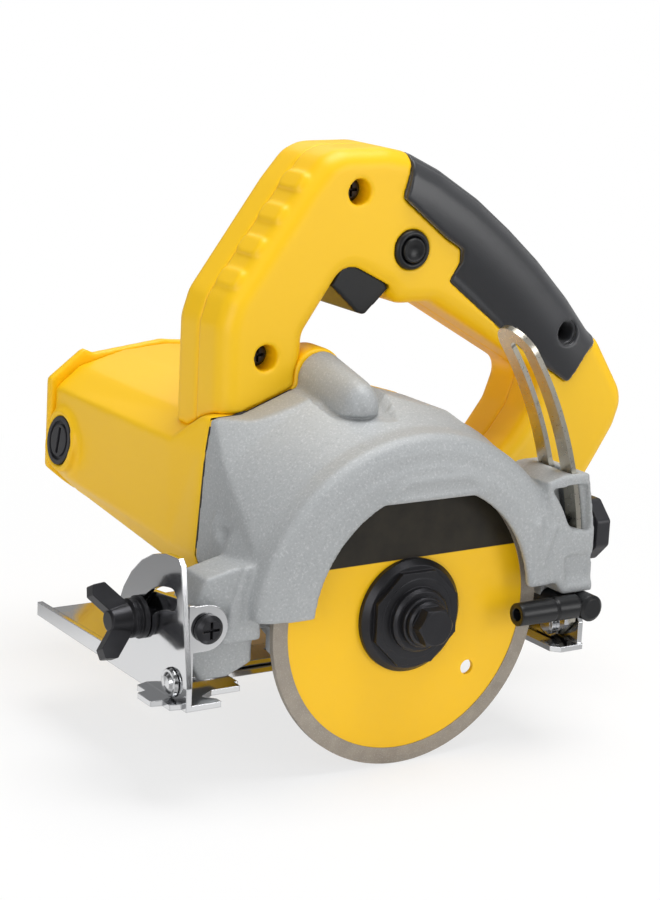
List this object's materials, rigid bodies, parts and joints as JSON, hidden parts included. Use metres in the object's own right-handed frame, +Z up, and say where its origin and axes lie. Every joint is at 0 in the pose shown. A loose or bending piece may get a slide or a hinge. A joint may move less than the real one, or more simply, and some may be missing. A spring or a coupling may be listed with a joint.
{
  "type": "hand-held tile cutter",
  "caption": "Hand-held wet tile cutter: continuous-rim diamond blade under a cast guard, motor housing with D-handle, and a sheet base that tilts for depth and bevel.",
  "frame": {"origin": "centre of the blade, at mid-thickness on the spindle axis", "axes": "+X towards the rear end with the grip, -Y out through the open face of the blade, +Y along the motor, +Z up away from the work"},
  "size_m": [0.2356, 0.191, 0.212],
  "materials": {
    "cast_grey": "fine sand-textured lacquered casting",
    "yellow_plastic": "satin glass-filled nylon",
    "black_rubber": "satin moulded grip rubber",
    "black_plastic": "satin moulded plastic",
    "dark_grey_plastic": "satin moulded plastic",
    "chromed_steel": "bright plated sheet",
    "zinc_steel": "bright zinc plate",
    "black_steel": "black oxide",
    "turned_steel": "ground",
    "blade_yellow": "printed lacquer",
    "diamond_grit": "sintered bronze and grit",
    "lamination_steel": "stacked sheet",
    "copper_wire": "enamelled wire",
    "brass": "plain",
    "carbon": "pressed carbon",
    "white_nylon": "moulded nylon"
  },
  "bodies": {
    "motor_unit": {"armature_front_bearing": "turned_steel", "armature_rear_bearing": "turned_steel", "brush_cap_front": "dark_grey_plastic", "brush_cap_rear": "dark_grey_plastic", "brush_holder_front": "brass", "brush_holder_rear": "brass", "brush_spring_front": "brass", "brush_spring_rear": "brass", "carbon_brush_front": "carbon", "carbon_brush_rear": "carbon", "cord_inlet": "black_plastic", "depth_pivot_screw": "black_steel", "end_cover": "yellow_plastic", "end_cover_screws": "zinc_steel", "field_coil_front": "copper_wire", "field_coil_rear": "copper_wire", "gear_case": "cast_grey", "gear_case_screws": "zinc_steel", "gear_cover": "cast_grey", "gear_cover_screws": "zinc_steel", "grip_cover": "black_rubber", "handle_screws": "zinc_steel", "handle_shell_left": "yellow_plastic", "handle_shell_right": "yellow_plastic", "lock_button_bezel": "black_plastic", "motor_housing": "yellow_plastic", "spindle_bearing": "turned_steel", "spindle_seal": "black_rubber", "spindle_tail_bearing": "turned_steel", "stator_core": "lamination_steel", "switch_module": "black_plastic", "water_cross_tube": "black_plastic", "water_end_cap": "black_plastic", "water_spout": "black_plastic"},
    "spindle_unit": {"spindle": "turned_steel", "spindle_gear": "turned_steel", "inner_flange": "black_steel", "blade_disc": "blade_yellow", "diamond_rim": "diamond_grit", "outer_flange": "black_steel", "bolt_washer": "black_steel", "blade_bolt": "black_steel"},
    "armature_unit": {"armature_shaft": "turned_steel", "pinion": "turned_steel", "armature_core": "lamination_steel", "armature_winding": "copper_wire", "commutator": "copper_wire", "cooling_fan": "white_nylon"},
    "depth_frame_unit": {"depth_frame": "chromed_steel", "depth_arc": "chromed_steel", "front_pivot_rivet": "chromed_steel", "rear_pivot_rivet": "chromed_steel"},
    "base_unit": {"base_plate": "chromed_steel"},
    "bevel_bolt_unit": {"bevel_wing_bolt": "black_steel"},
    "lock_knob_unit": {"depth_lock_knob": "dark_grey_plastic"},
    "trigger_unit": {"trigger": "black_plastic"},
    "lock_button_unit": {"lock_on_button": "black_plastic"}
  },
  "joints": [
    {"name": "spindle_spin", "type": "hinge", "parent": "motor_unit", "child": "spindle_unit", "pos_m": [0, 0, 0], "axis": [0, 1, 0], "continuous": true},
    {"name": "armature_spin", "type": "hinge", "parent": "motor_unit", "child": "armature_unit", "pos_m": [-0.009, 0.1, 0.0244], "axis": [0, 1, 0], "continuous": true},
    {"name": "depth_tilt", "type": "hinge", "parent": "motor_unit", "child": "depth_frame_unit", "pos_m": [-0.0812, 0, 0.0058], "axis": [0, 1, 0], "range_deg": [0, 26]},
    {"name": "bevel_tilt", "type": "hinge", "parent": "depth_frame_unit", "child": "base_unit", "pos_m": [0, 0.004, -0.0135], "axis": [-1, 0, 0], "range_deg": [0, 45]},
    {"name": "bevel_bolt_turn", "type": "hinge", "parent": "depth_frame_unit", "child": "bevel_bolt_unit", "pos_m": [-0.1, 0.02694, 0.00256], "axis": [-1, 0, 0], "range_deg": [0, 180]},
    {"name": "lock_knob_turn", "type": "hinge", "parent": "motor_unit", "child": "lock_knob_unit", "pos_m": [0.08, 0.004, 0.022], "axis": [1, 0, 0], "range_deg": [0, 180]},
    {"name": "trigger_pull", "type": "hinge", "parent": "motor_unit", "child": "trigger_unit", "pos_m": [-0.0012, 0.06, 0.1178], "axis": [0, -1, 0], "range_deg": [0, 8], "stiffness_Nm_per_rad": 0.3, "springref_deg": -14.32},
    {"name": "lock_on_press", "type": "slide", "parent": "motor_unit", "child": "lock_button_unit", "axis": [0, 1, 0], "range_m": [0, 0.003], "stiffness_N_per_m": 150, "springref_m": -0.003}
  ],
  "couplings": [
    {"joint": "armature_spin", "follows": "spindle_spin", "ratio": -2.0588}
  ]
}
